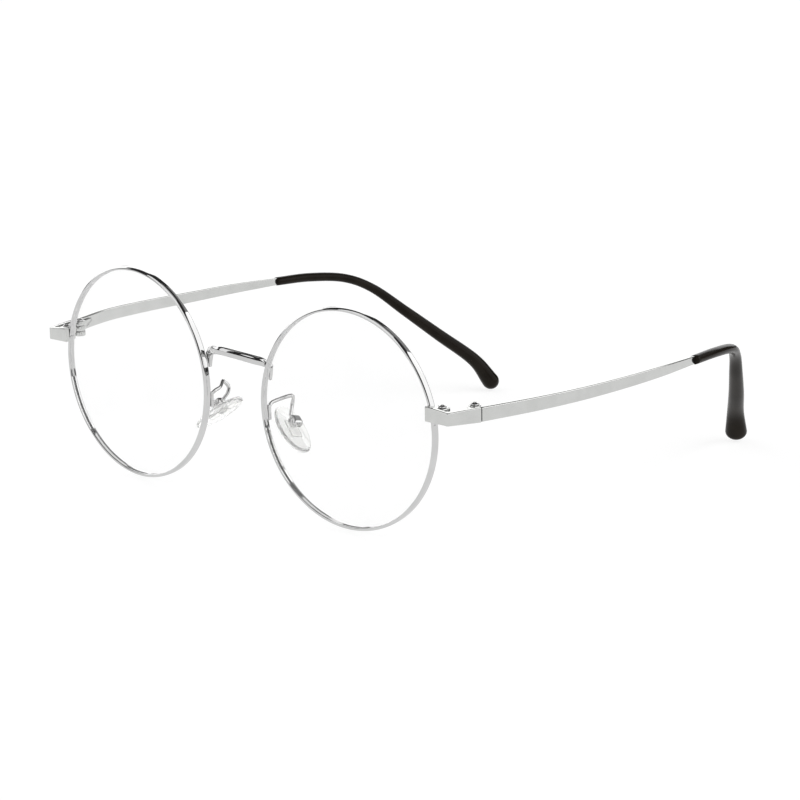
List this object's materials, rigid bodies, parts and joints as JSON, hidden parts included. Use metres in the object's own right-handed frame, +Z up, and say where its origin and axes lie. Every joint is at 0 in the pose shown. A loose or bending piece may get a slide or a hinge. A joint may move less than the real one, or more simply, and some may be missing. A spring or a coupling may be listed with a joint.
{
  "type": "round wire eyeglasses",
  "caption": "Round wire-rim eyeglasses with an arched bridge, bent endpieces, folding bowed temples with black tips, and clear nose pads that rock.",
  "frame": {"origin": "middle of the box's underside: on the symmetry plane, level with the rims' bottoms and the tips' ends that the glasses stand on", "axes": "front faces -Y, temples run to +Y, +X is the wearer's left, +Z up"},
  "size_m": [0.1414, 0.146, 0.0505],
  "materials": {
    "polished_silver": "polished plated wire with sharp reflections",
    "satin_silver": "satin plated, fine even grain",
    "clear_lens": "clear, polished both sides",
    "clear_insert": "clear hard plastic",
    "clear_silicone": "clear soft silicone, slightly cloudy",
    "black_acetate": "black, polished"
  },
  "bodies": {
    "front": {"bridge": "polished_silver", "left_rim": "polished_silver", "left_lens": "clear_lens", "left_endpiece": "satin_silver", "left_lower_closing_block": "satin_silver", "left_upper_closing_block": "satin_silver", "left_closing_screw": "polished_silver", "left_front_hinge_leaf": "satin_silver", "left_hinge_screw": "polished_silver", "left_pad_arm": "polished_silver", "left_pad_box": "polished_silver", "left_pad_screw": "polished_silver", "right_rim": "polished_silver", "right_lens": "clear_lens", "right_endpiece": "satin_silver", "right_lower_closing_block": "satin_silver", "right_upper_closing_block": "satin_silver", "right_closing_screw": "polished_silver", "right_front_hinge_leaf": "satin_silver", "right_hinge_screw": "polished_silver", "right_pad_arm": "polished_silver", "right_pad_box": "polished_silver", "right_pad_screw": "polished_silver"},
    "left_temple": {"left_temple_bar": "satin_silver", "left_temple_hinge_leaf": "satin_silver", "left_temple_tip": "black_acetate"},
    "right_temple": {"right_temple_bar": "satin_silver", "right_temple_hinge_leaf": "satin_silver", "right_temple_tip": "black_acetate"},
    "left_pad": {"left_pad_insert": "clear_insert", "left_nose_pad": "clear_silicone"},
    "right_pad": {"right_pad_insert": "clear_insert", "right_nose_pad": "clear_silicone"}
  },
  "joints": [
    {"name": "left_temple_fold", "type": "hinge", "parent": "front", "child": "left_temple", "pos_m": [0.06359, -0.05776, 0.02569], "axis": [0, -0.0547, 0.9985], "range_deg": [0, 80]},
    {"name": "right_temple_fold", "type": "hinge", "parent": "front", "child": "right_temple", "pos_m": [-0.06359, -0.05776, 0.02569], "axis": [0, 0.0547, -0.9985], "range_deg": [0, 70]},
    {"name": "left_pad_rock", "type": "hinge", "parent": "front", "child": "left_pad", "pos_m": [0.0125, -0.06063, 0.02038], "axis": [0.1317, 0.9745, -0.1816], "range_deg": [-8, 8]},
    {"name": "right_pad_rock", "type": "hinge", "parent": "front", "child": "right_pad", "pos_m": [-0.0125, -0.06063, 0.02038], "axis": [0.1317, -0.9745, 0.1816], "range_deg": [-8, 8]}
  ]
}
